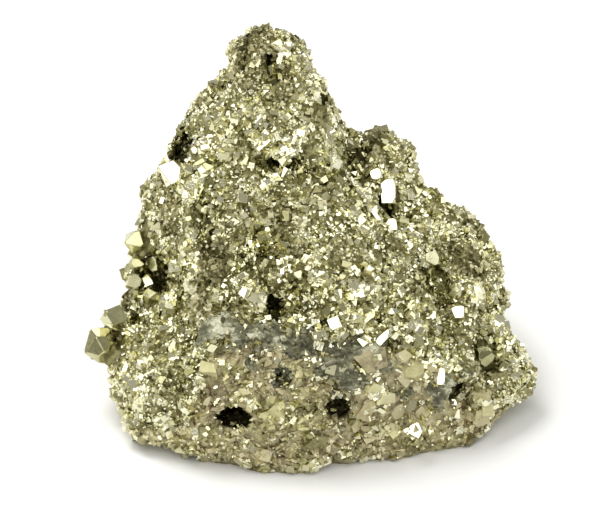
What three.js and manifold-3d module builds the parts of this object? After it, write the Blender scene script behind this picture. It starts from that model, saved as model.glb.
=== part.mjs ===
// A pyrite specimen: a hand-sized chunk of iron pyrite crystals grown together, broken off flat underneath.
// Millimetres, +Z up, origin at the middle of the footprint on the surface it stands on. Corners, hollows
// and crystals share one working origin on that surface, and the whole is centred on its footprint at the end.
// The broken front of the chunk faces -Y. It grew as one piece, so it is one solid.
import * as THREE from 'three';
import { ConvexGeometry } from 'three/addons/geometries/ConvexGeometry.js';
import { TessellateModifier } from 'three/addons/modifiers/TessellateModifier.js';
import { ImprovedNoise } from 'three/addons/math/ImprovedNoise.js';
import { mergeVertices } from 'three/addons/utils/BufferGeometryUtils.js';
import Module from 'manifold-3d';

const wasm = await Module();
wasm.setup();

// ---- Driving dimensions ----
const TRIANGLE_EDGE = 3.3; // longest edge that the rough surface keeps
const TESSELLATE_PASSES = 14;
const BEND = { spacing: 21, height: 3 }; // leaves no straight edge between the masses
const LUMP = { spacing: 8, height: 1.7 }; // swells of the surface
const GRAIN = { spacing: 3.4, height: 0.8 }; // clusters of crystals
const BLOCK_FLOOR = -2.6; // the blocks run this far below the break that the chunk stands on
const WASTE = { width: 100, depth: 30 }; // what the break takes away underneath

// ---- Corners of the angular masses that make up the chunk ----
const spurCorners = [
  [-10.3, 11, 47.6], [-8, 12, 49.5], [-4.1, 12, 49.3], [-2.8, 12, 46.3], [-7, 18, 43], [-13.2, 12, 43.3],
  [-15, -4, 33], [3.3, 6, 36], [-15.5, -20, 18.5], [-6, -20.5, 19.5], [4, -20.5, 19.5], [13, -20, 18.5],
  [-15, -23, BLOCK_FLOOR], [0, -25.5, BLOCK_FLOOR], [12, -23, BLOCK_FLOOR],
  [-9, 21, 30], [6, 20, 28], [-12, 24, BLOCK_FLOOR], [8, 24, BLOCK_FLOOR],
];
const leftFlankCorners = [
  [-14.3, 11, 42.6], [-16.5, 10, 37], [-20, 8, 32.5], [-23, 5, 27], [-25, 1, 22.5], [-26.5, -3, 17.5],
  [-28, -7, 14], [-28, -10, 9], [-26.4, -14, 5], [-24.4, -21, 1.5], [-18, -24, 1.5], [-13, -24, 8],
  [-16, -19.5, 18], [-15.5, -4, 32.2], [-12, -17, 19],
  [-23.5, -17, BLOCK_FLOOR], [-24.5, 6, BLOCK_FLOOR], [-17, 19, BLOCK_FLOOR], [-10, -21, BLOCK_FLOOR],
  [-8, 18, BLOCK_FLOOR], [-21, 15, 17], [-15, 18, 28], [-5, 10, 38],
];
const rightShoulderCorners = [
  [9.5, 12, 34.5], [15, 11, 31], [20, 9, 24.5], [24, 5, 20], [27.3, 1, 17], [28.5, -3, 12.5],
  [4, 9, 32.5], [7, -8, 27.3], [12, -19.5, 18.5], [20.5, -19, 12], [25, -15.5, 6],
  [24.8, -15.5, BLOCK_FLOOR], [14, -22.6, 2], [12, -22, BLOCK_FLOOR], [26, 5, BLOCK_FLOOR],
  [5, 18, BLOCK_FLOOR], [17, 19, BLOCK_FLOOR], [18, 17, 15], [9, 19, 27],
];
const rightLobeCorners = [
  [27.4, -7, 13.4], [30.2, -9.5, 10.2], [31.6, -11.6, 7.2], [30, -13, 4.8], [24.4, -18, 1.5], [23, -19.6, 8],
  [27, -3, 4], [20, -6, 14], [20, -12, BLOCK_FLOOR], [23.5, -13, BLOCK_FLOOR], [22, 0, BLOCK_FLOOR],
];
const brokenFrontCorners = [
  [-19, -24.5, 1.5], [-10, -27.2, 1.5], [0, -27.5, 2], [9, -24.9, 1.5], [18.6, -22.4, 1.5], [24.8, -18.4, 1.5],
  [-15, -22.5, 15], [-4, -23, 17.5], [8, -22.8, 17], [20, -20.5, 10],
  [-14, -23.5, BLOCK_FLOOR], [-4, -25.5, BLOCK_FLOOR], [8, -23.4, BLOCK_FLOOR], [18.5, -19.8, BLOCK_FLOOR],
  [-14, -16, 17.5], [13, -16, 17.5],
];
const backCorners = [
  [-22, 11, BLOCK_FLOOR], [-13, 22, BLOCK_FLOOR], [0, 25, BLOCK_FLOOR], [10, 22.5, BLOCK_FLOOR],
  [21, 14, BLOCK_FLOOR], [-19, 14, 20], [-10, 20.5, 29], [-2, 21.5, 32], [7, 19.5, 28], [16, 14, 22],
  [-12, 4, 30], [10, 4, 26],
];

// ---- Hollows: middle, half width along each axis, turn about X in degrees ----
const hollows = [
  { at: [-5.6, 7.6, 46.6], half: [0.8, 1.6, 0.9], turn: 0 },
  { at: [-18.2, 4.4, 33.8], half: [2.4, 2.6, 1.6], turn: 0 },
  { at: [-3.8, -2.6, 36.2], half: [3.1, 2, 0.8], turn: 12 },
  { at: [-15.4, -10, 27.5], half: [1.7, 6.4, 1.1], turn: 42 },
  { at: [6.2, 5, 31], half: [1.5, 6, 1.2], turn: 20 },
  { at: [10.8, 0.8, 26.7], half: [1.9, 1.8, 1.4], turn: 0 },
  { at: [-21.4, -5.2, 18.3], half: [2.8, 3.3, 3.3], turn: 0 },
  { at: [-5, -17.6, 22.2], half: [0.9, 2.4, 1.5], turn: 0 },
  { at: [18, -8.6, 18.6], half: [2, 4.5, 2.8], turn: 20 },
  { at: [24.8, -14.5, 11.8], half: [2.4, 2.2, 2.4], turn: 0 },
  { at: [-10.5, -25.2, 8.6], half: [2.1, 3.3, 1.2], turn: 0 },
  { at: [20.7, -19.4, 8.6], half: [1.1, 2.4, 1.1], turn: 0 },
  { at: [3.9, -24.9, 10], half: [1.4, 1.9, 1.3], turn: 0 },
  { at: [-3.9, -23.8, 14.4], half: [1.2, 2, 1.1], turn: 0 },
  { at: [-3, 22.6, 17], half: [3.4, 2.6, 1.8], turn: -30 },
  { at: [13, 17.2, 20], half: [1.6, 2.2, 2.4], turn: 0 },
  { at: [25.6, 7, 8], half: [2, 2.6, 1.6], turn: 0 },
  { at: [-22.8, 9, 10], half: [2.2, 2.2, 1.4], turn: 0 },
];

// ---- Larger crystals: kind, middle, width, turns about X, Y and Z in degrees, and their proportions ----
const EVEN = [1, 1, 1];
const SLIM = [0.55, 1.25, 0.6];
const UPRIGHT = [0.62, 1.05, 0.8];
const crystals = [
  { kind: 'cube', at: [-19.1, 0.4, 32], width: 3.1, turn: [41, -17, 13], form: EVEN },
  { kind: 'cube', at: [11.2, 3.2, 27], width: 3.3, turn: [44, -6, -5], form: UPRIGHT },
  { kind: 'cube', at: [9.4, 4.2, 29.4], width: 1.5, turn: [40, -20, 12], form: EVEN },
  { kind: 'cube', at: [11.4, -2.8, 25.5], width: 1.7, turn: [42, -10, 0], form: EVEN },
  { kind: 'pyritohedron', at: [-9, -15.4, 26], width: 1.6, turn: [15, 0, 40], form: EVEN },
  { kind: 'cube', at: [-9.4, -6.8, 32.6], width: 1.4, turn: [30, 15, 0], form: EVEN },
  { kind: 'octahedron', at: [-1.6, -15.5, 26.1], width: 2.2, turn: [10, 30, 20], form: EVEN },
  { kind: 'octahedron', at: [-24.4, -0.8, 21.8], width: 3.4, turn: [0, 15, 40], form: EVEN },
  { kind: 'pyritohedron', at: [-24.3, -3.2, 19.3], width: 2.4, turn: [20, 0, 10], form: EVEN },
  { kind: 'cube', at: [-24.9, -4.6, 17.2], width: 1.9, turn: [45, 20, 0], form: EVEN },
  { kind: 'cube', at: [-27.6, -7.6, 12.8], width: 2.6, turn: [30, 0, 35], form: EVEN },
  { kind: 'pyritohedron', at: [-29.4, -10, 9.9], width: 5.2, turn: [25, 10, 15], form: EVEN },
  { kind: 'pyritohedron', at: [20.2, -9, 18.6], width: 2.2, turn: [0, 40, 0], form: EVEN },
  { kind: 'cube', at: [20.7, -11.9, 17], width: 1.7, turn: [42, -7, -6], form: EVEN },
  { kind: 'cube', at: [16.9, -4.7, 20.9], width: 2, turn: [40, 0, 30], form: EVEN },
  { kind: 'pyritohedron', at: [24.1, -13.7, 11], width: 3.6, turn: [35, 0, 20], form: EVEN },
  { kind: 'pyritohedron', at: [26.4, -10, 10.6], width: 2, turn: [38, -20, 9], form: EVEN },
  { kind: 'cube', at: [3.4, -20.1, 21.1], width: 1.6, turn: [37, -19, 13], form: EVEN },
  { kind: 'cube', at: [10.1, -19.9, 18.6], width: 1.9, turn: [36, 22, -39], form: SLIM },
  { kind: 'cube', at: [18.2, -19.5, 11.6], width: 1.9, turn: [41, -3, -9], form: SLIM },
  { kind: 'cube', at: [14.8, -22.6, 4.6], width: 1.9, turn: [16, -37, 52], form: EVEN },
  { kind: 'cube', at: [-13, 17.4, 22], width: 2.6, turn: [30, 20, 0], form: EVEN },
  { kind: 'pyritohedron', at: [8, 18.8, 15], width: 3.4, turn: [0, 30, 15], form: EVEN },
  { kind: 'cube', at: [20.5, 14, 12.4], width: 2.2, turn: [15, 0, 40], form: EVEN },
  { kind: 'octahedron', at: [-3, 19.8, 35], width: 3, turn: [20, 0, 0], form: EVEN },
];

// ---- Solids ----
function solidFrom(geometry) {
  const shape = geometry.clone();
  for (const name of Object.keys(shape.attributes)) {
    if (name !== 'position') shape.deleteAttribute(name);
  }
  const merged = mergeVertices(shape, 1e-4);
  return new wasm.Manifold(new wasm.Mesh({
    numProp: 3,
    vertProperties: new Float32Array(merged.attributes.position.array),
    triVerts: new Uint32Array(merged.index.array),
  }));
}

function geometryFrom(solid) {
  const mesh = solid.getMesh();
  const geometry = new THREE.BufferGeometry();
  geometry.setAttribute('position', new THREE.BufferAttribute(mesh.vertProperties, mesh.numProp));
  geometry.setIndex(new THREE.BufferAttribute(mesh.triVerts, 1));
  return geometry;
}

// One angular mass: the convex hull of its corners.
function block(corners) {
  return solidFrom(new ConvexGeometry(corners.map((corner) => new THREE.Vector3(...corner))));
}

const chunk = block(spurCorners)
  .add(block(leftFlankCorners))
  .add(block(rightShoulderCorners))
  .add(block(rightLobeCorners))
  .add(block(brokenFrontCorners))
  .add(block(backCorners));

// ---- Rough surface ----
const noise = new ImprovedNoise();

// A smooth push in all three directions, so that neighbouring points never cross.
function push(point, { spacing, height }, seed) {
  const at = point.clone().divideScalar(spacing);
  return new THREE.Vector3(
    noise.noise(at.x + seed, at.y, at.z),
    noise.noise(at.x, at.y + seed, at.z),
    noise.noise(at.x, at.y, at.z + seed),
  ).multiplyScalar(height);
}

function roughened(geometry) {
  const fine = new TessellateModifier(TRIANGLE_EDGE, TESSELLATE_PASSES).modify(geometry);
  const places = fine.attributes.position;
  const point = new THREE.Vector3();
  for (let i = 0; i < places.count; i++) {
    point.fromBufferAttribute(places, i);
    point.add(push(point, BEND, 5.1)).add(push(point, LUMP, 17.3)).add(push(point, GRAIN, 41.9));
    places.setXYZ(i, point.x, point.y, point.z);
  }
  return fine;
}

// ---- The break underneath ----
const waste = new THREE.BoxGeometry(WASTE.width, WASTE.width, WASTE.depth);
waste.translate(0, 0, -WASTE.depth / 2);

function hollow({ at, half, turn }) {
  const shape = new THREE.IcosahedronGeometry(1, 1);
  shape.scale(...half);
  shape.rotateX(THREE.MathUtils.degToRad(turn));
  shape.translate(...at);
  return solidFrom(shape);
}

// The twelve-sided form of pyrite: a cube's eight corners and a roof ridge over each of its six faces.
function pyritohedron() {
  const slope = 0.5;
  const ridge = 1 - slope ** 2;
  const top = 1 + slope;
  const corners = [];
  for (const a of [-1, 1]) {
    for (const b of [-1, 1]) {
      corners.push([a, b, -1], [a, b, 1]);
      corners.push([0, a * top, b * ridge], [a * top, b * ridge, 0], [b * ridge, 0, a * top]);
    }
  }
  const shape = new ConvexGeometry(corners.map((place) => new THREE.Vector3(...place)));
  shape.scale(0.5 / top, 0.5 / top, 0.5 / top);
  return shape;
}

const forms = {
  cube: () => new THREE.BoxGeometry(1, 1, 1),
  octahedron: () => new THREE.OctahedronGeometry(0.5, 0),
  pyritohedron,
};

function crystal({ kind, at, width, turn, form }) {
  const shape = forms[kind]();
  shape.scale(...form.map((share) => share * width));
  shape.rotateX(THREE.MathUtils.degToRad(turn[0]));
  shape.rotateY(THREE.MathUtils.degToRad(turn[1]));
  shape.rotateZ(THREE.MathUtils.degToRad(turn[2]));
  shape.translate(...at);
  return solidFrom(shape);
}

// ---- The whole specimen ----
let cluster = solidFrom(roughened(geometryFrom(chunk)));
for (const each of hollows) cluster = cluster.subtract(hollow(each));
for (const each of crystals) cluster = cluster.add(crystal(each));
cluster = cluster.subtract(solidFrom(waste));

// The origin moves to the middle of the footprint's box; the base is already at z = 0.
const finished = geometryFrom(cluster);
finished.computeBoundingBox();
const middle = finished.boundingBox.getCenter(new THREE.Vector3());
finished.translate(-middle.x, -middle.y, 0);

const specimen = new THREE.Mesh(
  finished,
  new THREE.MeshStandardMaterial({ color: 0xb0a878, roughness: 0.35, metalness: 1 }),
);
specimen.name = 'pyrite_cluster';

const group = new THREE.Group();
group.add(specimen);
export default group;
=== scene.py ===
# %% [markdown]
# # A pyrite specimen
# This is a hand-sized chunk of iron pyrite: a rough mass of ore with a crust of tiny brassy crystals on
# it, called druse, a few larger crystals, and a front that broke when the chunk was split from its vein.
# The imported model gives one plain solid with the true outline. A bump in a material could roughen that
# solid, but its edge would stay smooth and nothing would sparkle, so this lesson keeps the outline and
# grows the real surface on it as tens of thousands of small closed shapes.

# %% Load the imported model
import math

import bmesh
import bpy
import numpy as np
from mathutils import Euler, Matrix, Vector, kdtree, noise


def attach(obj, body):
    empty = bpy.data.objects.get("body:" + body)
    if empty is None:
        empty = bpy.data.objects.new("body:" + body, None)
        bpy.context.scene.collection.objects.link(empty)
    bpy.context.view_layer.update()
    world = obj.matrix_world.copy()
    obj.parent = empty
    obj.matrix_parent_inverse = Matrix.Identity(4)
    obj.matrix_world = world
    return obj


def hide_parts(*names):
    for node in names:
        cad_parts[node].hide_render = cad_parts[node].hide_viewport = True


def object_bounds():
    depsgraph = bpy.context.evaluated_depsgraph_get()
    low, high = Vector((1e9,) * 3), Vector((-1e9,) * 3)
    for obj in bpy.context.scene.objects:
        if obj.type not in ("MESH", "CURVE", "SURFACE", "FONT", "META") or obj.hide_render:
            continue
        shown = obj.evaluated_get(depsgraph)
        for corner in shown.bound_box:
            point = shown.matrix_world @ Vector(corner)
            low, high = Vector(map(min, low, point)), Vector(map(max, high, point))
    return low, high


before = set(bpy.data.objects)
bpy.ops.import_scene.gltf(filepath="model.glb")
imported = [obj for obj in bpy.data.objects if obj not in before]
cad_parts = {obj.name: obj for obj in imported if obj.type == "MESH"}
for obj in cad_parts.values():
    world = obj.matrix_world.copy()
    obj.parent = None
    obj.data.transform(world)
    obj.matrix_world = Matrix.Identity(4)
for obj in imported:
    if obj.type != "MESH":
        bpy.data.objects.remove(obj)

cad_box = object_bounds()
MM = 0.001  # a millimetre in metres, the unit of everything in the scene
NODE = "pyrite_cluster"
print("the chunk measures", [round((high - low) / MM, 1) for low, high in zip(*cad_box)], "mm")

# %% [markdown]
# ## The camera and the light
# A long lens from well away keeps the chunk's edges nearly parallel. It looks down at 35 degrees, so the
# druse slope faces it. Metal shows what is around it and little else, so the light is built from what its
# facets should mirror: the pale floor, a fairly dark sky, and four large soft lamps, which make the flashes.
# One lamp for everything would be simpler, but its strength would then tie the flashes to the shadow on
# the floor. Here a lamp is seen either by metal or by the floor, so each is set for itself.

# %% Camera
VIEW_ELEVATION = math.radians(35)
VIEW_DISTANCE = 450 * MM
VIEW_WIDTH = 84.8 * MM  # what the view takes in, side to side, at the chunk
SENSOR_WIDTH = 36  # always in millimetres, like the lens
NEAREST_SEEN = 10 * MM
AIM = Vector((-1.95, -1.4, 20.0)) * MM

camera_data = bpy.data.cameras.new("camera")
camera = bpy.data.objects.new("camera", camera_data)
bpy.context.scene.collection.objects.link(camera)
away = Vector((0, -math.cos(VIEW_ELEVATION), math.sin(VIEW_ELEVATION)))
camera.location = AIM + away * VIEW_DISTANCE
camera.rotation_euler = (math.pi / 2 - VIEW_ELEVATION, 0, 0)
camera_data.sensor_width = SENSOR_WIDTH
camera_data.lens = SENSOR_WIDTH * VIEW_DISTANCE / VIEW_WIDTH
camera_data.clip_start = NEAREST_SEEN
bpy.context.scene.camera = camera
print("lens", round(camera_data.lens), "mm")

# %% Floor, sky and lamps
LAMP_AIM = Vector((0, 0, 18)) * MM  # inside the chunk
LAMPS = [  # name, place and size in millimetres, brightness, and whether metal mirrors it
    ("floor lamp", (-210, 160, 520), (340, 340), 7.5, False),
    ("floor fill", (60, -350, 600), (900, 600), 1.5, False),
    ("softbox", (-110, -260, 470), (680, 520), 1.9, True),
    ("side softbox", (-440, 60, 260), (320, 320), 1.8, True),
    ("back softbox", (160, 420, 330), (460, 300), 1.9, True),
    ("right softbox", (430, -60, 300), (320, 320), 1.7, True),
]


def lamp(name, place, size, radiance, seen_in_metal):
    """A soft lamp. One kind is only mirrored by metal, the other only lights the floor."""
    data = bpy.data.lights.new(name, "AREA")
    data.shape = "RECTANGLE"
    data.size, data.size_y = size[0] * MM, size[1] * MM
    data.energy = radiance * math.pi * data.size * data.size_y
    item = bpy.data.objects.new(name, data)
    item.location = Vector(place) * MM
    item.rotation_euler = (LAMP_AIM - item.location).to_track_quat("-Z", "Y").to_euler()
    item.visible_glossy = seen_in_metal
    item.visible_diffuse = not seen_in_metal
    bpy.context.scene.collection.objects.link(item)


FLOOR_HALF = 1500 * MM
floor_mesh = bpy.data.meshes.new("floor")
bm = bmesh.new()
bmesh.ops.create_grid(bm, x_segments=1, y_segments=1, size=FLOOR_HALF)
bm.to_mesh(floor_mesh)
bm.free()
floor = bpy.data.objects.new("floor", floor_mesh)
bpy.context.scene.collection.objects.link(floor)

floor_finish = bpy.data.materials.new("white sweep")
floor_finish.use_nodes = True
floor_shader = floor_finish.node_tree.nodes["Principled BSDF"]
floor_shader.inputs["Base Color"].default_value = (0.9, 0.9, 0.9, 1)
floor_shader.inputs["Roughness"].default_value = 0.9
floor_shader.inputs["Specular IOR Level"].default_value = 0.1
floor_mesh.materials.append(floor_finish)

SKY_COLOUR = (1.0, 0.985, 0.88, 1)
SKY_STRENGTH = 0.39
world = bpy.data.worlds.new("studio")
bpy.context.scene.world = world
world.use_nodes = True
world.node_tree.nodes["Background"].inputs["Color"].default_value = SKY_COLOUR
world.node_tree.nodes["Background"].inputs["Strength"].default_value = SKY_STRENGTH

for each in LAMPS:
    lamp(*each)
bpy.context.scene.view_settings.view_transform = "Standard"
print(len(LAMPS), "lamps")

# %% [markdown]
# ## A short way to write finishes
# A finish is a small network of nodes. Built by hand it takes three lines for every node, and the idea is
# lost in them. The Wire class below lets plain arithmetic make the Math nodes, and Finish.node makes any
# other node in one call. Everything that is the same all over a surface is set on the shader itself.

# %% A wire and a finish
TILT = (0.5, 0.3, 0.4)  # turns stretched noise off the upright, in radians


class Wire:
    """One node output. Arithmetic on it adds Math nodes to the same finish."""

    def __init__(self, finish, socket):
        self.finish = finish
        self.socket = socket

    def math(self, operation, *values):
        return self.finish.node("ShaderNodeMath", {"operation": operation}, dict(enumerate(values)))

    def __add__(self, other):
        return self.math("ADD", self, other)

    def __sub__(self, other):
        return self.math("SUBTRACT", self, other)

    def __mul__(self, other):
        return self.math("MULTIPLY", self, other)


class Finish:
    """A material on its Principled shader."""

    def __init__(self, name, **constants):
        self.material = bpy.data.materials.new(name)
        self.material.use_nodes = True
        self.tree = self.material.node_tree
        self.shader = self.tree.nodes["Principled BSDF"]
        self.surface(**constants)

    def node(self, kind, settings=None, inputs=None, output=0):
        """Adds a node: its settings first, then the values or wires of its sockets."""
        made = self.tree.nodes.new(kind)
        for name, value in (settings or {}).items():
            if name == "stops":
                while len(made.color_ramp.elements) < len(value):
                    made.color_ramp.elements.new(1)
                for stop, (place, colour) in zip(made.color_ramp.elements, value):
                    stop.position = place
                    stop.color = (*colour, 1)
            else:
                setattr(made, name, value)
        for socket, value in (inputs or {}).items():
            self.feed(made.inputs[socket], value)
        return Wire(self, made.outputs[output])

    def feed(self, socket, value):
        """Links a wire to a socket, or sets the socket to a plain value."""
        if isinstance(value, Wire):
            self.tree.links.new(value.socket, socket)
        else:
            socket.default_value = value

    def surface(self, **values):
        """Feeds the shader's own sockets: Base_Color stands for the socket Base Color."""
        for socket, value in values.items():
            self.feed(self.shader.inputs[socket.replace("_", " ").title()], value)

    def place(self):
        return self.node("ShaderNodeTexCoord", output="Object")

    def attribute(self, name):
        return self.node("ShaderNodeAttribute", {"attribute_name": name}, output="Fac")

    def noise(self, size, detail=3, roughness=0.5, stretch=None):
        """Clouds about size millimetres across, squeezed stretch times on each axis."""
        place = self.place()
        if stretch:
            place = self.node("ShaderNodeMapping", None, {
                "Vector": place, "Rotation": TILT, "Scale": stretch,
            })
        return self.node("ShaderNodeTexNoise", None, {
            "Vector": place, "Scale": 1 / (size * MM), "Detail": detail, "Roughness": roughness,
        })

    def mix(self, factor, first, second):
        """A colour between two others. A Mix node's colours are its sockets 6, 7 and 2."""
        colours = {0: factor, 6: first, 7: second}
        return self.node("ShaderNodeMix", {"data_type": "RGBA"}, colours, output=2)

    def ramp(self, factor, stops):
        return self.node("ShaderNodeValToRGB", {"stops": stops}, {"Fac": factor}, "Color")

    def bump(self, height, distance):
        """A Bump node over a height wire; distance is in millimetres."""
        return self.node("ShaderNodeBump", None, {
            "Height": height, "Distance": distance * MM, "Strength": 1.0,
        }, "Normal")


# %% [markdown]
# ## Where each part of the surface is
# The druse covers the slopes, the back and the sides. The front broke through the mass, so it shows flat
# cleaved plates and coarse ore instead, with a seam of grey quartz along its upper edge. Each of these
# is a share from 0 to 1 that any place on the surface can be asked for, so that the small shapes, the
# relief and the colours all agree on where they are. All places here are in millimetres.

# %% Shares and noise
FOOTPRINT_MIDDLE = Vector((0.57, -0.65, 0))  # where the origin is, in the millimetres of the lists below


def working(places):
    """Turns places in metres into the millimetres that the lists below use."""
    return places / MM + np.array(FOOTPRINT_MIDDLE)


def smoothly(value, low, high):
    """0 below low, 1 above high, and a smooth step between."""
    step = np.clip((value - low) / (high - low), 0, 1)
    return step * step * (3 - 2 * step)


def cloud(places, spacing, seed):
    """Smooth noise from -1 to 1 at places in millimetres. Each seed gives a different cloud."""
    shift = Vector((seed * 7.3, seed * 3.1, seed * 5.7))
    return np.array([noise.noise(Vector(place) / spacing + shift) for place in places])


def near_spots(places, spots, inner, outer):
    """1 within inner radii of the middle of any spot, 0 past outer radii, and smooth between."""
    share = np.zeros(len(places))
    for middle, radius in spots:
        away = np.linalg.norm(places - np.array(middle), axis=1)
        share = np.maximum(share, 1 - smoothly(away, inner * radius, outer * radius))
    return share


def unit(rows):
    """Each row brought to length 1."""
    return rows / np.linalg.norm(rows, axis=1)[:, None]


# %% The broken front
RIM = [  # x and z of the upper edge of the break, from left to right
    (-27, 3.4), (-21, 4.6), (-17, 7.5), (-14, 16.5), (-6, 18.4), (4, 18.4), (13, 17), (20, 11.5), (24, 8),
    (28, 3),
]
RIM_WANDER = 1.8  # how far the edge strays from those points
RIM_FADE = (-0.6, 1.0)  # how far below the edge the break starts and is complete
FRONT_FADE = (12.6, 14.6)  # how far forward it starts and is complete
LEFT_FADE = (-28, -26)  # the x at which it starts and is complete
FOOT_FADE = (1.3, 2.4)  # how high the break around the foot is complete and ends
FOOT_WANDER = 0.9


def broken_share(places):
    """How far each place is in the broken front or the break around the foot."""
    wander = cloud(places, 3.2, 1)
    x, y, z = places.T
    below_rim = np.interp(x, *zip(*RIM)) - z + RIM_WANDER * wander
    front = smoothly(below_rim, *RIM_FADE) * smoothly(-y, *FRONT_FADE) * smoothly(x + wander, *LEFT_FADE)
    foot = 1 - smoothly(z + FOOT_WANDER * wander, *FOOT_FADE)
    return np.maximum(front, foot)


# %% The quartz seam
SEAM = [  # points along its middle, and how far it reaches on each side of them
    ((-14.6, -18.4, 18.9), 1.3), ((-12.1, -18.7, 19.4), 1.9), ((-9.4, -19.4, 18.9), 1.7),
    ((-5.5, -20.1, 18.5), 1.9), ((-1.4, -21, 18.2), 1.9), ((2.7, -20.9, 17.2), 1.5),
    ((7.5, -20.7, 16.9), 1.3), ((11.6, -19.5, 17.2), 1),
]
SEAM_PATCHES = [  # middle and radius
    ((3.6, -22.2, 15.6), 2.3), ((5.4, -23, 13.2), 2.3), ((1.4, -22.4, 16.2), 1.3), ((9.8, -21.2, 15.6), 1.1),
    ((19.4, -19.6, 10.4), 1.5), ((17.8, -20.8, 8.8), 1.7), ((21.4, -19.2, 11.2), 0.9),
    ((-3.6, -23.8, 14.4), 1.5), ((12.8, -22.2, 9.6), 1.2), ((-8.2, -22.2, 15.6), 1.2),
]
SEAM_FADE = (-0.5, 0.5)  # how far past its edge the seam is complete and ends
RAGGED = 3  # how near its edge a place has to be for the noise to matter
PALE_QUARTZ = [  # middle and radius
    ((-11.9, -19.4, 19.4), 2.5), ((-7.6, -19.9, 18.7), 1.4), ((-4.4, -20.8, 18.4), 1.2),
    ((8.4, -20.8, 16.8), 1.6), ((19.6, -19.6, 9.6), 1.6),
]


def pale_share(places):
    """How far each place is in the whiter parts of the quartz."""
    return near_spots(places, PALE_QUARTZ, 0.5, 1.2)


def seam_share(places):
    """How far each place is in the grey quartz between the crust and the broken front."""
    reach = np.full(len(places), np.inf)
    for (start, near), (end, far) in zip(SEAM, SEAM[1:]):
        a, b = np.array(start), np.array(end)
        along = np.clip((places - a) @ (b - a) / ((b - a) @ (b - a)), 0, 1)
        away = np.linalg.norm(places - a - along[:, None] * (b - a), axis=1)
        reach = np.minimum(reach, away - near - along * (far - near))
    for middle, radius in SEAM_PATCHES:
        reach = np.minimum(reach, np.linalg.norm(places - np.array(middle), axis=1) - radius)
    close = reach < RAGGED
    reach[close] += 1.9 * cloud(places[close], 2.2, 4) + 1.0 * cloud(places[close], 0.8, 9)
    return 1 - smoothly(reach, *SEAM_FADE)


# %% Hollows with painted shade, and dull patches
# The last column is painted shade: how much darker the colours inside the hollow are painted. The same share
# also sinks the mass and thins the crystals there.
HOLLOWS = [  # middle, half widths, turn about X in degrees, and how dark it looks inside
    ((-5.6, 7.6, 46.6), (0.8, 1.6, 0.9), 0, 1.0), ((-18.2, 4.4, 33.8), (3.5, 3.7, 2.5), 0, 1.0),
    ((-3.8, -2.6, 36.2), (3.1, 2, 0.8), 12, 0.6), ((-15.4, -10, 27.5), (1.7, 6.4, 1.1), 42, 0.5),
    ((6.2, 5, 31), (1.5, 6, 1.2), 20, 0.35), ((10.8, 0.8, 26.7), (1.9, 1.8, 1.4), 0, 0.7),
    ((-21.4, -5.2, 18.3), (2.8, 3.3, 3.3), 0, 0.3), ((-5, -17.6, 22.2), (0.9, 2.4, 1.5), 0, 1.0),
    ((18, -8.6, 18.6), (2, 4.5, 2.8), 20, 0.2), ((24.8, -14.5, 11.8), (2.4, 2.2, 2.4), 0, 0.5),
    ((-10.5, -25.2, 8.6), (2.1, 3.3, 1.2), 0, 1.0), ((20.7, -19.4, 8.6), (1.1, 2.4, 1.1), 0, 0.9),
    ((3.9, -24.9, 10), (1.4, 1.9, 1.3), 0, 1.0), ((-3.9, -23.8, 14.4), (1.2, 2, 1.1), 0, 0.5),
    ((-3, 22.6, 17), (3.4, 2.6, 1.8), -30, 0.7), ((13, 17.2, 20), (1.6, 2.2, 2.4), 0, 0.7),
    ((25.6, 7, 8), (2, 2.6, 1.6), 0, 0.7), ((-22.8, 9, 10), (2.2, 2.2, 1.4), 0, 0.7),
]
# Partly painted shade: some of these patches lie where the slope left of the central ridge is in shade, and
# darken the crust there besides dulling it.
DULL_AND_SHADED_PATCHES = [  # middle and radius
    ((-7, 9.2, 48.6), 2.6), ((-3.5, 3.8, 43.9), 2.2), ((-13.2, -11.7, 26), 3.4), ((-16.3, -14.2, 20.5), 3),
    ((9.2, 9.3, 33), 2.2), ((22.7, -2.6, 19.5), 2.6), ((6.7, -13.7, 24), 2),
]
HOLLOW_FADE = (0.9, 1.35)  # how far from its middle a hollow is complete and ends, in half widths


def hollow_and_shade_share(places, margin=0.0):
    """How much painted shade each place gets for lying in a hollow, with every hollow widened by margin
    millimetres.
    """
    share = np.zeros(len(places))
    for middle, half, turn, darkness in HOLLOWS:
        turned = Euler((math.radians(turn), 0, 0)).to_matrix()
        inside = (places - np.array(middle)) @ np.array(turned) / (np.array(half) + margin)
        away = np.linalg.norm(inside, axis=1)
        share = np.maximum(share, darkness * (1 - smoothly(away, *HOLLOW_FADE)))
    return share


def dull_and_shade_share(places):
    """How far each place is in a patch of dull, brown crust: partly wear, partly painted shade."""
    scattered = 0.65 * smoothly(cloud(places, 5.5, 7), 0.15, 0.45)
    return np.maximum(scattered, near_spots(places, DULL_AND_SHADED_PATCHES, 0.6, 1.3))


# %% [markdown]
# ## The rough mass
# Under the crystals is massive ore, which shows between them and in the hollows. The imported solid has
# large uneven triangles, so a voxel remesh first gives it an even skin. A Displace modifier could roughen
# that skin, but it can't tell the broken front from the druse. The corners are moved here as arrays
# instead, by hillocks, knobs and fine grain that fade where the front broke. The skin also sinks a little,
# so that the tips of the crystals, not the mass, reach the true outline.

# %% An even skin
VOXEL = 0.48 * MM
SAME_PLACE = 0.001 * MM  # corners nearer than this are one corner


def new_piece(name, mesh):
    piece = bpy.data.objects.new(name, mesh)
    bpy.context.scene.collection.objects.link(piece)
    return piece


def remeshed_copy(node, voxel):
    """The node's shape as one even skin of small squares."""
    bm = bmesh.new()
    bm.from_mesh(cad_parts[node].data)
    bmesh.ops.remove_doubles(bm, verts=bm.verts, dist=SAME_PLACE)
    mesh = bpy.data.meshes.new("skin")
    bm.to_mesh(mesh)
    bm.free()
    holder = new_piece("skin holder", mesh)
    remesh = holder.modifiers.new("even skin", "REMESH")
    remesh.mode = "VOXEL"
    remesh.voxel_size = voxel
    bpy.context.view_layer.update()
    even = bpy.data.meshes.new_from_object(holder.evaluated_get(bpy.context.evaluated_depsgraph_get()))
    bpy.data.objects.remove(holder)
    return even


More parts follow.
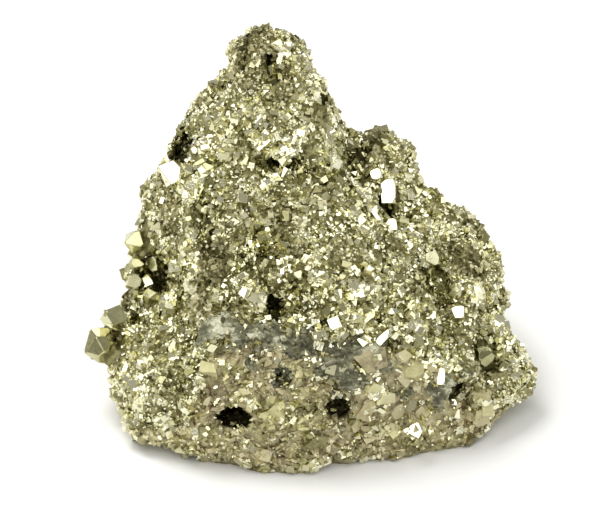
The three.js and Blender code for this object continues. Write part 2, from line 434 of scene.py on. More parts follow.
def read(items, name, width=3):
    """One value of each vertex, edge or face as an array."""
    found = np.zeros(len(items) * width, dtype=np.int64 if name == "vertices" else float)
    items.foreach_get(name, found)
    return found.reshape(-1, width)


def store(mesh, name, values, domain="POINT"):
    """Keeps one number for each corner or face on the mesh, where a finish can read it."""
    numbers = np.asarray(values, dtype=np.float32)
    mesh.attributes.new(name, "FLOAT", domain).data.foreach_set("value", numbers)


mass_mesh = remeshed_copy(NODE, VOXEL)
skin = read(mass_mesh.vertices, "co")
skin_normals = read(mass_mesh.vertices, "normal")
skin_mm = working(skin)
print("the skin has", len(skin), "corners")

# %% How deep in a hollow each place lies
DEPTH_ROUNDS = 90  # enough to fill hollows a few millimetres wide
CALM_ROUNDS = 24  # enough to lose the single squares but keep the slopes


def evened(mesh, values, rounds):
    """Values of a mesh's corners, averaged with their neighbours rounds times over."""
    a, b = read(mesh.edges, "vertices", 2).T
    size = len(values)
    links = np.bincount(a, minlength=size) + np.bincount(b, minlength=size)
    even = values.copy()
    for _ in range(rounds):
        total = np.stack([
            np.bincount(a, even[b, axis], size) + np.bincount(b, even[a, axis], size)
            for axis in range(values.shape[1])
        ], 1)
        even = 0.5 * even + 0.5 * total / links[:, None]
    return even


depth = np.einsum("ij,ij->i", evened(mass_mesh, skin, DEPTH_ROUNDS) - skin, skin_normals) / MM
calm = unit(evened(mass_mesh, skin_normals, CALM_ROUNDS))
print("hollows lie up to", round(depth.max(), 1), "mm in, ridges up to", round(-depth.min(), 1), "mm out")

# %% The larger crystals' places
EVEN = (1, 1, 1)
SLIM = (0.55, 1.25, 0.6)
UPRIGHT = (0.62, 1.05, 0.8)
LARGER = [  # kind, middle, width, turns about X, Y and Z in degrees, proportions and how bright
    ("cube", (-19.1, 0.4, 32), 3.1, (41, -17, 13), EVEN, 1.0),
    ("cube", (11.2, 3.2, 27), 3.3, (44, -6, -5), UPRIGHT, 1.0),
    ("cube", (9.4, 4.2, 29.4), 1.5, (40, -20, 12), EVEN, 0.8),
    ("cube", (11.4, -2.8, 25.5), 1.7, (42, -10, 0), EVEN, 0.9),
    ("pyritohedron", (-9, -15.4, 26), 1.6, (15, 0, 40), EVEN, 0.7),
    ("cube", (-9.4, -6.8, 32.6), 1.4, (30, 15, 0), EVEN, 0.7),
    ("octahedron", (-1.6, -15.5, 26.1), 2.2, (10, 30, 20), EVEN, 0.5),
    ("octahedron", (-24.6, -1.2, 21.8), 4.4, (0, 15, 40), EVEN, 0.42),
    ("pyritohedron", (-24.3, -3.2, 19.3), 2.4, (20, 0, 10), EVEN, 0.3),
    ("cube", (-24.9, -4.6, 17.2), 1.9, (45, 20, 0), EVEN, 0.5),
    ("cube", (-27.6, -7.6, 12.8), 2.6, (30, 0, 35), EVEN, 0.55),
    ("pyritohedron", (-29.4, -10, 9.9), 5.2, (25, 10, 15), EVEN, 0.42),
    ("pyritohedron", (20.2, -9, 18.6), 2.2, (0, 40, 0), EVEN, 0.5),
    ("cube", (20.7, -11.9, 17), 1.7, (42, -7, -6), EVEN, 0.8),
    ("cube", (16.9, -4.7, 20.9), 2, (40, 0, 30), EVEN, 0.6),
    ("pyritohedron", (24.1, -13.7, 11), 3.6, (35, 0, 20), EVEN, 0.3),
    ("pyritohedron", (26.4, -10, 10.6), 2, (38, -20, 9), EVEN, 0.9),
    ("cube", (3.4, -20.1, 21.1), 1.6, (37, -19, 13), EVEN, 1.0),
    ("cube", (10.1, -19.9, 18.6), 1.9, (36, 22, -39), SLIM, 1.0),
    ("cube", (18.2, -19.5, 11.6), 1.9, (41, -3, -9), SLIM, 0.95),
    ("cube", (14.8, -22.6, 4.6), 1.9, (16, -37, 52), EVEN, 1.0),
    ("cube", (-13, 17.4, 22), 2.6, (30, 20, 0), EVEN, 0.7),
    ("pyritohedron", (8, 18.8, 15), 3.4, (0, 30, 15), EVEN, 0.4),
    ("cube", (20.5, 14, 12.4), 2.2, (15, 0, 40), EVEN, 0.7),
    ("octahedron", (-3, 19.8, 35), 3, (20, 0, 0), EVEN, 0.5),
    ("pyritohedron", (-22.2, -7.2, 16.6), 2.6, (35, 10, 20), EVEN, 0.45),
    ("cube", (-21.3, -4.2, 20), 2.1, (50, 15, 30), EVEN, 0.5),
    ("cube", (-23, -3.8, 16.4), 1.8, (30, -20, 10), EVEN, 0.6),
]


def larger_share(places, reach):
    """How far each place is within reach half widths of one of the larger crystals."""
    share = np.zeros(len(places))
    for _, middle, width, *_ in LARGER:
        away = np.linalg.norm(places - np.array(middle), axis=1) / (0.5 * width)
        share = np.maximum(share, 1 - smoothly(away, reach, reach + 0.3))
    return share


# %% Relief
CRUST = 0.3  # how far the mass lies under the tips of the crystals, in millimetres
BASE_BAND = 0.3  # corners lower than this, in millimetres, stay on the flat base
SOCKET_REACH = 1.2  # the mass is even within this many half widths of a larger crystal
broken = broken_share(skin_mm)
seam = seam_share(skin_mm)
hollow = hollow_and_shade_share(skin_mm)
dull_and_shade = dull_and_shade_share(skin_mm)
near_larger = larger_share(skin_mm, SOCKET_REACH)

# The size of smooth noise, without its sign, gives rounded bumps with sharp creases between them.
folds = np.abs(cloud(skin_mm, 4.6, 5))
hillocks = folds * 2.4 - 0.75
knobs = np.abs(cloud(skin_mm, 2.2, 8)) * 1.3 - 0.4
grain = cloud(skin_mm, 1.1, 2) * 0.22 + cloud(skin_mm, 0.55, 3) * 0.14
# Painted shade: crease is highest along the creases between the hillocks and only darkens colours there,
# away from the broken front.
crease = (1 - smoothly(folds, 0, 0.12)) * (1 - broken)
rough = (0.68 * hillocks + 0.62 * knobs) * (1 - 0.75 * broken) + grain * (1 - 0.4 * broken)
rise = rough * (1 - near_larger) - CRUST - 0.4 * hollow - 0.15 * near_larger
sunk = skin + calm * (rise * MM)[:, None]
on_base = skin_mm[:, 2] < BASE_BAND
sunk[on_base, 2] = 0
sunk[:, 2] = np.maximum(sunk[:, 2], 0)
sunk = np.clip(sunk, *cad_box)
mass_mesh.vertices.foreach_set("co", sunk.ravel())
mass_mesh.shade_flat()
# Painted shade: hollow and crease are kept on the mass so that its finish can darken those places.
for name, values in (("broken", broken), ("hollow", hollow), ("crease", crease)):
    store(mass_mesh, name, values)
mass = new_piece("rough_mass", mass_mesh)
print("the mass has", len(mass_mesh.polygons), "faces")
print("they moved by", round(rise.min(), 1), "to", round(rise.max(), 1), "mm")

# %% [markdown]
# ## Small shapes that repeat
# Pyrite grows as cubes, octahedra and its own twelve-sided form, the pyritohedron. In a crust few of them
# are whole, so most of the forms here are cubes with corners broken away. Each is cut from a cube by flat
# planes, as a lapidary would cut it, because a plane's angle is what makes one form differ from another.
# Fewer than forty triangles each are enough, as the forms are used tens of thousands of times. Copying
# objects would be slow, so one function turns and sizes all the copies as arrays and makes one mesh of
# them. The mesh is shaded flat: with smooth shading the facets blend, and the crust looks like round gravel.

# %% Crystal forms
draw = np.random.default_rng(41)
ON_PLANE = 1e-5  # corners this near a cutting plane count as on it, in widths of the shape


def cleave(bm, normal, distance):
    """Splits off what lies past a flat plane, and closes the shape on it."""
    cut = bmesh.ops.bisect_plane(
        bm, geom=bm.verts[:] + bm.edges[:] + bm.faces[:], dist=ON_PLANE,
        plane_co=Vector(normal).normalized() * distance, plane_no=normal, clear_outer=True,
    )
    rim = [item for item in cut["geom_cut"] if isinstance(item, bmesh.types.BMEdge)]
    if rim:
        bmesh.ops.holes_fill(bm, edges=rim, sides=0)


def cube():
    bm = bmesh.new()
    bmesh.ops.create_cube(bm, size=1)
    return bm


def octahedron():
    """Eight faces, one unit from tip to tip."""
    bm = bmesh.new()
    bmesh.ops.create_cube(bm, size=2)
    for x in (-1, 1):
        for y in (-1, 1):
            for z in (-1, 1):
                cleave(bm, (x, y, z), 0.5 / math.sqrt(3))
    return bm


def pyritohedron():
    """Pyrite's own twelve-sided form, one unit across its roof ridges."""
    bm = bmesh.new()
    bmesh.ops.create_cube(bm, size=2)
    for a in (-1, 1):
        for b in (-1, 1):
            for normal in ((b, 2 * a, 0), (2 * a, 0, b), (0, b, 2 * a)):
                cleave(bm, normal, 1 / math.sqrt(5))
    return bm


def form_from(bm):
    """A finished small shape as arrays: its corners and its triangles."""
    bmesh.ops.recalc_face_normals(bm, faces=bm.faces)
    bmesh.ops.triangulate(bm, faces=bm.faces)
    bm.verts.ensure_lookup_table()
    corners = np.array([corner.co[:] for corner in bm.verts])
    triangles = np.array([[corner.index for corner in face.verts] for face in bm.faces])
    bm.free()
    return corners, triangles


def worn_grain():
    """A small crystal of no clear form: a cube with one to three corners broken away."""
    bm = cube()
    for _ in range(draw.integers(1, 4)):
        cleave(bm, draw.normal(size=3), draw.uniform(0.24, 0.42))
    return bm


MAKERS = {"cube": cube, "octahedron": octahedron, "pyritohedron": pyritohedron}
GRAIN_KINDS = 12
FORMS = [form_from(make()) for make in MAKERS.values()]
GRAINS = [form_from(worn_grain()) for _ in range(GRAIN_KINDS)]
FORMS += GRAINS
SAME_BULK = np.array([0.85, 1.35, 1.1] + [1.05] * GRAIN_KINDS)  # brings the forms to about the same bulk
SHARES = np.array([0.14, 0.12, 0.08] + [0.66 / GRAIN_KINDS] * GRAIN_KINDS)  # how common each form is
print([len(triangles) for _, triangles in FORMS], "triangles in each form")

# %% Broken plates
PLATE_KINDS = 14


def broken_plate():
    """A flake of ore with one broad flat face and four to six broken edges."""
    bm = bmesh.new()
    bmesh.ops.create_cube(bm, size=1)
    sides = draw.integers(4, 7)
    for turn in np.arange(sides) * math.tau / sides + draw.uniform(-0.45, 0.45, sides):
        cleave(bm, (math.cos(turn), math.sin(turn), draw.uniform(-0.05, 0.3)), draw.uniform(0.3, 0.48))
    cleave(bm, (draw.uniform(-0.22, 0.22), draw.uniform(-0.22, 0.22), 1), draw.uniform(0.2, 0.26))
    return bm


PLATES = [form_from(broken_plate()) for _ in range(PLATE_KINDS)]
print([len(triangles) for _, triangles in PLATES], "triangles in each plate")

# %% Turns and widths
def random_turns(count):
    """Evenly spread random rotations, as matrices."""
    w, x, y, z = unit(draw.normal(size=(count, 4))).T
    return np.stack([
        np.stack([1 - 2 * (y * y + z * z), 2 * (x * y - z * w), 2 * (x * z + y * w)], 1),
        np.stack([2 * (x * y + z * w), 1 - 2 * (x * x + z * z), 2 * (y * z - x * w)], 1),
        np.stack([2 * (x * z - y * w), 2 * (y * z + x * w), 1 - 2 * (x * x + y * y)], 1),
    ], 1)


def turns_out(outward, lean, sideways=None):
    """Rotations that point a shape's top along outward, leant and spun at random."""
    top = unit(outward + draw.normal(size=outward.shape) * lean)
    side = unit(np.cross(top, draw.normal(size=top.shape) if sideways is None else sideways))
    return np.stack([side, np.cross(top, side), top], 2)


def random_widths(count, typical, spread, least, most):
    """Widths in millimetres, most of them near the typical one. A larger spread varies them more."""
    return np.clip(draw.lognormal(math.log(typical), spread, count), least, most)


# %% Many small shapes as one mesh
CELL_MARGIN = 0.2  # how much of a texture square is left empty before and after a face
CELL_FACE = 0.6


def bake_cells(shape_of_face, total):
    """Texture places for triangles: one small square for each shape, which all its faces share."""
    across = math.ceil(math.sqrt(total))
    low = np.stack([shape_of_face % across, shape_of_face // across], 1) + CELL_MARGIN
    return np.stack([low, low + (CELL_FACE, 0), low + (0, CELL_FACE)], 1) / across


def sown(name, forms, kinds, places, turns, sizes, **values):
    """One piece with a small shape at each place: form number kinds[n], sizes[n] wide each way."""
    points, faces, order, tallies = [], [], [], []
    start = 0
    for kind, (corners, triangles) in enumerate(forms):
        mine = np.flatnonzero(kinds == kind)
        shaped = corners[None] * sizes[mine][:, None, :]
        placed = np.einsum("nij,nkj->nki", turns[mine], shaped) + places[mine][:, None, :]
        points.append(placed.reshape(-1, 3))
        step = (np.arange(len(mine)) * len(corners))[:, None, None]
        faces.append((triangles[None] + step + start).reshape(-1, 3))
        start += len(points[-1])
        order.append(mine)
        tallies.append(np.full(len(mine), len(triangles)))
    points = np.clip(np.concatenate(points), *cad_box)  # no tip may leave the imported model's box
    faces = np.concatenate(faces)
    order = np.concatenate(order)
    shape_of_face = np.repeat(np.arange(len(order)), np.concatenate(tallies))
    mesh = bpy.data.meshes.new(name)
    mesh.vertices.add(len(points))
    mesh.vertices.foreach_set("co", points.ravel())
    mesh.loops.add(len(faces) * 3)
    mesh.loops.foreach_set("vertex_index", faces.ravel())
    mesh.polygons.add(len(faces))
    mesh.polygons.foreach_set("loop_start", np.arange(len(faces)) * 3)
    for value, numbers in values.items():
        store(mesh, value, numbers[order][shape_of_face], "FACE")
    cells = bake_cells(shape_of_face, len(order))
    mesh.uv_layers.new(name="OFBake").uv.foreach_set("vector", cells.ravel())
    mesh.update(calc_edges=True)
    mesh.shade_flat()
    print(name, len(faces), "triangles")
    return new_piece(name, mesh)


# %% Places for the small shapes
FOOT_CLEAR = 0.5 * MM  # nothing small is placed lower than this


def surface_places(mesh, count):
    """Random places spread evenly over a mesh, and the three corners around each."""
    mesh.calc_loop_triangles()
    triangles = read(mesh.loop_triangles, "vertices")
    points = read(mesh.vertices, "co")
    a, b, c = points[triangles].transpose(1, 0, 2)
    area = np.linalg.norm(np.cross(b - a, c - a), axis=1)
    chosen = draw.choice(len(area), size=count, p=area / area.sum())
    u, v = draw.random((2, count))
    over = u + v > 1
    u[over], v[over] = 1 - u[over], 1 - v[over]
    places = a[chosen] + (b - a)[chosen] * u[:, None] + (c - a)[chosen] * v[:, None]
    return places, triangles[chosen]


def there(values, corners):
    """A value of the mass's corners at the places between them."""
    mean = values[corners].mean(1)
    return unit(mean) if mean.ndim == 2 else mean


def apart(places, gap):
    """Which places to keep so that no two are nearer than gap."""
    kept = np.zeros(len(places), dtype=bool)
    for number, place in enumerate(places):
        near = places[kept] - place
        kept[number] = not len(near) or (near * near).sum(1).min() > gap * gap
    return kept


def nearest(points, places):
    """For each place, the number of the nearest point and how far it is."""
    tree = kdtree.KDTree(len(points))
    for number, point in enumerate(points):
        tree.insert(point, number)
    tree.balance()
    found = [tree.find(place) for place in places]
    return np.array([number for _, number, _ in found]), np.array([away for _, _, away in found])


# %% [markdown]
# ## The druse
# Druse is a crust of crystals that grew side by side from many starting points. Even random sowing gives
# a dull, sandy surface. Here every crystal belongs to the nearest of about two thousand clumps: its clump
# sets its size, its height and how bright it is, and most of a clump's crystals are turned the same way,
# so they flash together. They sit in ten pieces, because a single one would be too heavy to handle.

# %% Clumps
CLUMP_GAP = 1.5 * MM
CLUMP_CANDIDATES = 12000
SIZE_SPREAD = 0.24  # how much clumps differ in size, as a share of it,
RISE_SPREAD = 0.22  # in height, in millimetres,
LEAN_SPREAD = 0.3  # in slant,
TONE_SPREAD = 0.16  # and in brightness
places, _ = surface_places(mass_mesh, CLUMP_CANDIDATES)
clumps = places[apart(places, CLUMP_GAP)]
clump_size = np.exp(draw.normal(0, SIZE_SPREAD, len(clumps)))
clump_rise = draw.normal(0, RISE_SPREAD, len(clumps)) * MM
clump_side = draw.normal(size=(len(clumps), 3))
clump_lean = draw.normal(size=(len(clumps), 3)) * LEAN_SPREAD
clump_tone = draw.normal(0, TONE_SPREAD, len(clumps))
print(len(clumps), "clumps")

# %% Sow the crystals
DRUSE_CANDIDATES = 62000
DRUSE_WIDTH = 0.42  # a usual crystal, in millimetres
DRUSE_SPREAD = 0.36
DRUSE_LIMITS = (0.22, 1.15)
# Painted shade: crystals sunk deeper in a hollow than the first value are painted darker, most at the
# second.
DEPTH_SHADE = (0.5, 2.1)  # how deep in millimetres a hollow starts to darken crystals, and darkens them most
BARE_REACH = 0.95  # none stands within this many half widths of a larger crystal
FEWER = [(broken, 0.72), (seam, 0.72), (hollow, 0.5), (near_larger, 1)]  # where, and what part is missing
places, corners = surface_places(mass_mesh, DRUSE_CANDIDATES)
chance = 1 - np.maximum.reduce([part * there(share, corners) for share, part in FEWER])
keep = (draw.random(DRUSE_CANDIDATES) < chance) & (places[:, 2] > FOOT_CLEAR)
keep &= larger_share(working(places), BARE_REACH) < 0.5
places, corners = places[keep], corners[keep]
count = len(places)
clump, away = nearest(clumps, places)
worn_and_shaded = there(dull_and_shade, corners)
depth_shade = np.clip((there(depth, corners) - DEPTH_SHADE[0]) / (DEPTH_SHADE[1] - DEPTH_SHADE[0]), 0, 1)
widths = draw.lognormal(math.log(DRUSE_WIDTH), DRUSE_SPREAD, count) * clump_size[clump] * (1 - 0.25 * worn_and_shaded)
widths = np.clip(widths, *DRUSE_LIMITS)
kinds = draw.choice(len(FORMS), size=count, p=SHARES)
sizes = (widths * SAME_BULK[kinds])[:, None] * MM * draw.uniform(0.6, 1.45, (count, 3))
outward = there(calm, corners)
lift = draw.uniform(-0.12, 0.14, count) * MM + clump_rise[clump] * np.clip(1 - away / CLUMP_GAP, 0, 1)
places = places + outward * lift[:, None]
print(count, "small crystals")

# %% Turn the crystals
IN_STEP = 0.62  # the part of the crystals that grew in step with their clump
STRAY = 0.07  # how far those still differ from one another, as a slope
aligned = turns_out(outward + clump_lean[clump], STRAY, clump_side[clump])
turns = np.where((draw.random(count) < IN_STEP)[:, None, None], aligned, random_turns(count))

# %% Tones
USUAL_TONE = 0.75
SINGLE_SPREAD = 0.2  # how much the crystals of one clump differ in brightness
tones = USUAL_TONE + clump_tone[clump] + draw.normal(0, SINGLE_SPREAD, count)
# Painted shade: crystals deep in hollows, in the hollows' shade and along creases are painted darker.
tones = tones - 0.5 * depth_shade - 0.6 * there(hollow, corners)
tones -= 0.32 * there(crease, corners) + 0.15 * worn_and_shaded
tones = np.clip(tones, 0, 1)
# wear takes the dull patches into the browner ramp, with the painted shade that part of them carries.
wear = np.clip(0.75 * worn_and_shaded + draw.uniform(-0.15, 0.35, count), 0, 1)

# %% Share the crystals among pieces
SECTORS = {  # a point in millimetres inside each piece; a crystal goes to the nearest
    "druse_peak": (-6, 8, 42), "druse_left_flank": (-22, -3, 20), "druse_left_foot": (-24, -14, 6),
    "druse_front_slope": (-4, -10, 28), "druse_right_shoulder": (15, 0, 24), "druse_right_lobe": (26, -8, 8),
    "druse_back": (-4, 24, 16), "druse_back_left": (-20, 14, 12), "druse_back_right": (16, 16, 12),
    "druse_front_foot": (4, -26, 8),
}
middles = np.array(list(SECTORS.values())) * MM
sector_of = np.linalg.norm(places[:, None, :] - middles[None], axis=2).argmin(1)
druse = []
for number, name in enumerate(SECTORS):
    mine = sector_of == number
    druse.append(sown(
        name, FORMS, kinds[mine], places[mine], turns[mine], sizes[mine], tone=tones[mine], wear=wear[mine],
    ))

# %% [markdown]
# ## The broken front
# Where the chunk was split from the vein the ore broke instead of showing crystal faces. On the right it
# came away in broad flat plates with dark cracks between them, and elsewhere in small rough chips. The
# plates are flakes with four to six broken edges, laid flat on the mass with a gap kept between their
# middles. A cracked texture could draw the same lines, but would not catch the light plate by plate.

# %% Places in the broken front
OVERHANG = -0.5  # where the surface faces down more than this, nothing is laid
PLATED_LEFT = (2, 6)  # the x where the broad plates start and are complete,
PLATED_RIGHT = (19, 22)  # the x where they thin out and end,
PLATED_FOOT = (3.5, 6)  # and the z where they start and are complete


def on_broken_front(candidates, gap):
    """Places in the broken front, no two nearer than gap."""
    places, corners = surface_places(mass_mesh, candidates)
    share = there(broken, corners) * (1 - there(seam, corners)) * (1 - there(hollow, corners))
    usable = (share > 0.5) & (places[:, 2] > FOOT_CLEAR) & (there(calm, corners)[:, 2] > OVERHANG)
    places, corners = places[usable], corners[usable]
    spaced = apart(places, gap)
    return places[spaced], corners[spaced]


def plated_share(places):
    """How far each place is in the right-hand part of the front, where the breaks are broad and flat."""
    x, y, z = places.T
    wander = 2 * cloud(places, 4, 11)
    across = smoothly(x + wander, *PLATED_LEFT) * (1 - smoothly(x + wander, *PLATED_RIGHT))
    return across * smoothly(z + wander, *PLATED_FOOT)


# %% Lay the plates
PLATE_CANDIDATES = 12000
FINE_GAP = 1.3 * MM  # how far apart the places to choose from are
BROAD_GAP = 2.0 * MM
SPARSE_GAP = 2.5 * MM
SPARSE_SHARE = 0.5  # how many of the places away from the broad breaks get a plate
HOLLOW_MARGIN = 0.9  # how far plates keep from the hollows, in millimetres
places, corners = on_broken_front(PLATE_CANDIDATES, FINE_GAP)
broad = plated_share(working(places)) > 0.5
keep = apart(places, SPARSE_GAP) & (draw.random(len(places)) < SPARSE_SHARE)
keep[broad] = apart(places[broad], BROAD_GAP)
keep &= (hollow_and_shade_share(working(places), HOLLOW_MARGIN) < 0.1) & (there(seam, corners) < 0.1)
places, corners, broad = places[keep], corners[keep], broad[keep]
count = len(places)
widths = random_widths(count, 2.5, 0.26, 0.8, 3.8)
sizes = np.stack([
    widths * draw.uniform(0.9, 1.45, count), widths, np.minimum(widths, 1.6) * draw.uniform(0.6, 0.9, count),
], 1) * MM
outward = there(calm, corners)
places = places - outward * (0.2 * sizes[:, 2:] - draw.uniform(0.1, 0.36, (count, 1)) * MM)
plates = sown(
    "broken_plates", PLATES, draw.integers(0, PLATE_KINDS, count), places, turns_out(outward, 0.13), sizes,
    tone=0.75 * draw.random(count) + 0.25 * broad, wear=draw.uniform(0.5, 1, count),
)

# %% Scatter the chips
CHIP_CANDIDATES = 30000
CHIP_GAP = 0.38 * MM
places, _ = on_broken_front(CHIP_CANDIDATES, CHIP_GAP)
keep = draw.random(len(places)) < 0.92 - 0.82 * plated_share(working(places))
places = places[keep]
count = len(places)
widths = random_widths(count, 0.52, 0.36, 0.3, 1.3)
sizes = widths[:, None] * MM * draw.uniform(0.5, 1.6, (count, 3))
chips = sown(
    "broken_chips", GRAINS, draw.integers(0, GRAIN_KINDS, count), places, random_turns(count), sizes,
    tone=np.clip(draw.normal(0.42, 0.26, count) + 0.5 * cloud(working(places), 2.5, 12), 0, 1),
    wear=np.where(draw.random(count) < 0.28, 0.0, draw.uniform(0.45, 1, count)),
)

# %% [markdown]
# ## The quartz seam
# A thin seam of grey quartz runs along the upper edge of the break. It is a skin of its own, because it
# is a different mineral and takes the second material. The faces of the mass that lie in the seam are
# copied and extruded into a closed slab that thins out to its edge, and broken grains are set on it.
# Where two patches of faces meet in one corner only, the slab would get an edge with four faces, so the
# faces around such a corner are taken out first, until there is none left.

# %% Lay the seam
QUARTZ_RISE = 0.34 * MM
QUARTZ_ROOT = 0.4 * MM  # how far the slab reaches into the mass
LEAST_SHARE = 0.4  # faces with less of the seam than this are left out
LEVEL_SHARE = 0.45  # where the share is this, the top of the slab is level with the mass
SLOPE = 1.6  # how fast the top rises with the share
bm = bmesh.new()
bm.from_mesh(mass_mesh)
bm.verts.ensure_lookup_table()
marks = bm.verts.layers.float.new("share")
lean = bm.verts.layers.float_vector.new("lean")
for corner in bm.verts:
    corner[marks] = seam[corner.index]
    corner[lean] = calm[corner.index]
outside = [face for face in bm.faces if min(corner[marks] for corner in face.verts) < LEAST_SHARE]
bmesh.ops.delete(bm, geom=outside, context="FACES")
while True:
    pinched = [corner for corner in bm.verts if sum(edge.is_boundary for edge in corner.link_edges) > 2]
    if not pinched:
        break
    around = {face for corner in pinched for face in corner.link_faces}
    bmesh.ops.delete(bm, geom=list(around), context="FACES")
top = bmesh.ops.extrude_face_region(bm, geom=bm.faces[:])
raised = {item for item in top["geom"] if isinstance(item, bmesh.types.BMVert)}
for corner in bm.verts:
    rise = (corner[marks] - LEVEL_SHARE) * SLOPE * QUARTZ_RISE if corner in raised else -QUARTZ_ROOT
    corner.co += Vector(corner[lean]) * rise
bmesh.ops.recalc_face_normals(bm, faces=bm.faces)
seam_mesh = bpy.data.meshes.new("quartz_seam")
bm.to_mesh(seam_mesh)
bm.free()
store(seam_mesh, "pale", pale_share(working(read(seam_mesh.vertices, "co"))))
seam_piece = new_piece("quartz_seam", seam_mesh)
print("the seam has", len(seam_mesh.polygons), "faces")

# %% Grains on the seam
QUARTZ_CANDIDATES = 50000
places, corners = surface_places(mass_mesh, QUARTZ_CANDIDATES)
usable = there(seam, corners) > 0.5
places, corners = places[usable], corners[usable]
count = len(places)
widths = random_widths(count, 0.38, 0.4, 0.2, 1.0)
sizes = widths[:, None] * MM * draw.uniform(0.7, 1.3, (count, 3))
places = places + there(calm, corners) * (QUARTZ_RISE * draw.uniform(0.2, 0.9, count))[:, None]
kinds = draw.choice(len(FORMS), size=count, p=SHARES)
grains = sown(
    "quartz_grains", FORMS, kinds, places, random_turns(count), sizes, pale=pale_share(working(places)),
)

# %% [markdown]
# ## The larger crystals
# Nearly thirty crystals had room to grow to a few millimetres, in the hollows and on the left edge.
# The eye knows each of them, so they are placed one by one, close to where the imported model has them, with
# three more in the left pocket. Their corners are worn by different amounts, and a narrow bevel on every
# edge catches a line of light.

# %% Grow the larger crystals
BEVEL = 0.02  # in widths of the crystal


def worn_corners(bm):
    """Takes a little or a lot off every corner of a small shape."""
    for corner in [corner.co.copy() for corner in bm.verts]:
        aside = Vector(draw.normal(0, 0.2, 3)) * corner.length
        cleave(bm, corner + aside, corner.length * draw.uniform(0.68, 1))


whole = bmesh.new()
face_tones = []
for kind, place, width, turn, proportions, tone in LARGER:
    bm = MAKERS[kind]()
    worn_corners(bm)
    bmesh.ops.scale(bm, vec=proportions, verts=bm.verts)
    bmesh.ops.bevel(
        bm, geom=bm.edges[:], offset=BEVEL, offset_type="OFFSET", segments=1, profile=0.5, affect="EDGES",
        material=-1,
    )
    bmesh.ops.recalc_face_normals(bm, faces=bm.faces)
    facing = Euler([math.radians(angle) for angle in turn]).to_matrix().to_4x4()
    spot = Matrix.Translation((Vector(place) - FOOTPRINT_MIDDLE) * MM)
    bmesh.ops.transform(bm, matrix=spot @ facing @ Matrix.Scale(width * MM, 4), verts=bm.verts)
    one = bpy.data.meshes.new("one")
    bm.to_mesh(one)
    bm.free()
    whole.from_mesh(one)
    face_tones += [tone] * len(one.polygons)
    bpy.data.meshes.remove(one)
larger_mesh = bpy.data.meshes.new("larger_crystals")
whole.to_mesh(larger_mesh)
whole.free()
store(larger_mesh, "tone", face_tones, "FACE")
larger = new_piece("larger_crystals", larger_mesh)
print(len(LARGER), "larger crystals with", len(larger_mesh.polygons), "faces")

# %% [markdown]
# ## The druse's finish
# Pyrite is a metal to the eye, so the finish is fully metallic and its colour is what it mirrors things
# in. A ramp runs from a dark brown, used as painted shade in crevices and hollows, to pale brass. Each
# crystal picks its place on the ramp by its tone, and a second, browner ramp and more roughness take over
# as it is worn, and in the dull patches also as painted shade.

# %% The druse's finish
BRASS = [
    (0.0, (0.05, 0.046, 0.013)), (0.16, (0.17, 0.158, 0.056)), (0.34, (0.46, 0.437, 0.225)),
    (0.6, (0.70, 0.68, 0.435)), (1.0, (0.87, 0.855, 0.65)),
]
WORN = [(0.0, (0.08, 0.071, 0.03)), (0.4, (0.38, 0.345, 0.19)), (1.0, (0.68, 0.64, 0.43))]
druse_finish = Finish("druse brass", Metallic=1.0)
wear_wire = druse_finish.attribute("wear")
tone_wire = druse_finish.attribute("tone") + (druse_finish.noise(0.7) - 0.5) * 0.25
druse_finish.surface(
    Base_Color=druse_finish.mix(
        wear_wire, druse_finish.ramp(tone_wire, BRASS), druse_finish.ramp(tone_wire, WORN),
    ),
    Roughness=wear_wire * 0.3 + 0.14,
    Normal=druse_finish.bump(druse_finish.noise(0.3, 2), 0.03),
)

# %% [markdown]
# ## The ore's finishes
# The mass is painted darker than the crystals on it, as painted shade in the gaps between them, and darker
# still in hollows and creases. Where the front broke it is lighter and warmer, partly as fresh ore and
# partly as painted light from the floor around the foot. The plates and chips are cleaved ore: paler,
# matter, with fine stripes where they parted, and drifting between greenish and pinkish brown over a few
# millimetres.

# %% The mass's finish
mass_finish = Finish("massive ore", Metallic=1.0)
ore = mass_finish.noise(1.3, 5, 0.62)
painted_shade_wire = mass_finish.attribute("hollow") * 0.5 + mass_finish.attribute("crease") * 0.12
broken_and_lit_wire = mass_finish.attribute("broken")
mass_finish.surface(
    Base_Color=mass_finish.mix(
        broken_and_lit_wire,
        # Painted shade: the crust's ramp is dark, so the mass reads as the shaded gaps between the crystals.
        mass_finish.ramp(ore - painted_shade_wire, [
            (0.05, (0.025, 0.022, 0.008)), (0.33, (0.10, 0.09, 0.033)), (0.5, (0.24, 0.22, 0.10)),
            (0.7, (0.42, 0.39, 0.20)),
        ]),
        # Partly painted light: the broken ore is light enough to stand for floor light thrown up on the
        # foot.
        mass_finish.ramp(ore - painted_shade_wire, [
            (0.05, (0.03, 0.025, 0.012)), (0.36, (0.15, 0.125, 0.065)), (0.52, (0.42, 0.375, 0.225)),
            (0.7, (0.66, 0.61, 0.40)),
        ]),
    ),
    Roughness=mass_finish.noise(0.8, 4) * 0.4 + 0.22,
    Normal=mass_finish.bump(mass_finish.noise(0.45, 5, 0.65), 0.16),
)

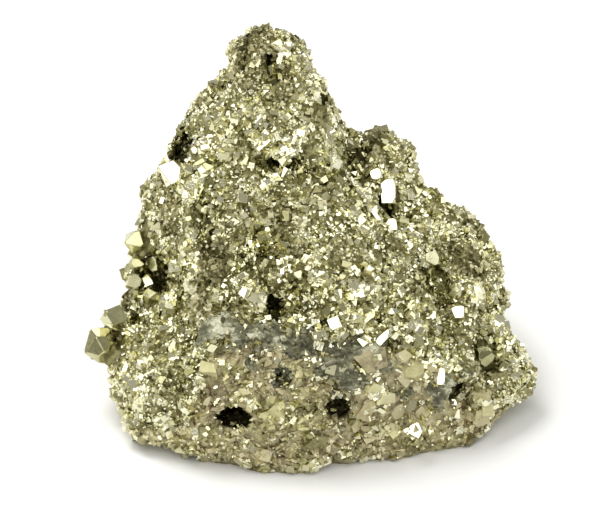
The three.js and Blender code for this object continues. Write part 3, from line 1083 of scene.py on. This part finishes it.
# %% The plates' finish
plate_finish = Finish("cleaved ore", Metallic=1.0)
striped = plate_finish.noise(0.5, 4, 0.6, stretch=(1, 1, 5))
plate_tone = plate_finish.attribute("tone") * 0.75 + plate_finish.noise(1.1, 5, 0.65) * 0.7 + striped * 0.25
warmth = plate_finish.node("ShaderNodeMapRange", None, {
    "Value": plate_finish.noise(4.5, 3), "From Min": 0.4, "From Max": 0.6,
})
plate_finish.surface(
    Base_Color=plate_finish.mix(
        warmth,
        plate_finish.ramp(plate_tone - 0.42, [
            (0.0, (0.20, 0.18, 0.08)), (0.25, (0.47, 0.44, 0.225)), (0.6, (0.67, 0.63, 0.36)),
            (1.0, (0.83, 0.79, 0.53)),
        ]),
        plate_finish.ramp(plate_tone - 0.42, [
            (0.0, (0.18, 0.145, 0.08)), (0.25, (0.45, 0.39, 0.24)), (0.6, (0.65, 0.59, 0.39)),
            (1.0, (0.82, 0.76, 0.55)),
        ]),
    ),
    Roughness=plate_finish.attribute("wear") * 0.34 + 0.14,
    Normal=plate_finish.bump(striped, 0.1),
)

# %% [markdown]
# ## The quartz's finish
# Quartz is no metal. Its grey streaks come from noise that is squeezed along tilted axes, since a vein
# grows in layers, and the whiter parts come from a value stored on the seam.

# %% The quartz's finish
quartz_finish = Finish("grey quartz", Metallic=0.0, Roughness=0.5)
streaks = quartz_finish.noise(2.2, 7, 0.66, stretch=(1, 2, 2.4))
quartz_finish.surface(
    Base_Color=quartz_finish.ramp(streaks + quartz_finish.attribute("pale") * 0.17, [
        (0.33, (0.045, 0.043, 0.02)), (0.475, (0.12, 0.118, 0.062)), (0.585, (0.27, 0.265, 0.165)),
        (0.69, (0.68, 0.68, 0.51)),
    ]),
    Normal=quartz_finish.bump(quartz_finish.noise(0.35, 5, 0.7), 0.14),
)

# %% [markdown]
# ## The larger crystals' finish
# These faces are nearly mirrors. The very low bump is the fine striping that grows across pyrite's faces,
# and the tone of each crystal says whether it is bright cream or dull olive.

# %% The larger crystals' finish
larger_finish = Finish("bright crystal", Metallic=1.0)
fine_steps = larger_finish.noise(0.35, 3, 0.5, stretch=(1, 1, 6))
larger_tone = larger_finish.attribute("tone") + (larger_finish.noise(1.2, 4) - 0.5) * 0.4
larger_finish.surface(
    Base_Color=larger_finish.ramp(larger_tone, [
        (0.0, (0.16, 0.15, 0.065)), (0.4, (0.48, 0.46, 0.26)), (0.7, (0.76, 0.74, 0.5)),
        (1.0, (0.9, 0.88, 0.7)),
    ]),
    Roughness=larger_finish.noise(1.5, 3) * 0.16 + 0.03,
    Normal=larger_finish.bump(fine_steps, 0.015),
)

# %% [markdown]
# ## Hand the pieces over
# Every piece belongs to the one solid chunk. The pyrite and the quartz take different materials, so
# either can be changed later without the other.

# %% Hand the pieces over
PYRITE = [(mass, mass_finish), (plates, plate_finish), (chips, plate_finish), (larger, larger_finish)]
PYRITE += [(piece, druse_finish) for piece in druse]
QUARTZ = [(seam_piece, quartz_finish), (grains, quartz_finish)]
for slot, pairs in {"pyrite": PYRITE, "matrix": QUARTZ}.items():
    for piece, finish in pairs:
        piece.data.materials.clear()
        piece.data.materials.append(finish.material)
        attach(piece, "root")
        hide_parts(NODE)
triangles = sum(len(face.vertices) - 2 for piece, _ in PYRITE + QUARTZ for face in piece.data.polygons)
print(triangles, "triangles in all")
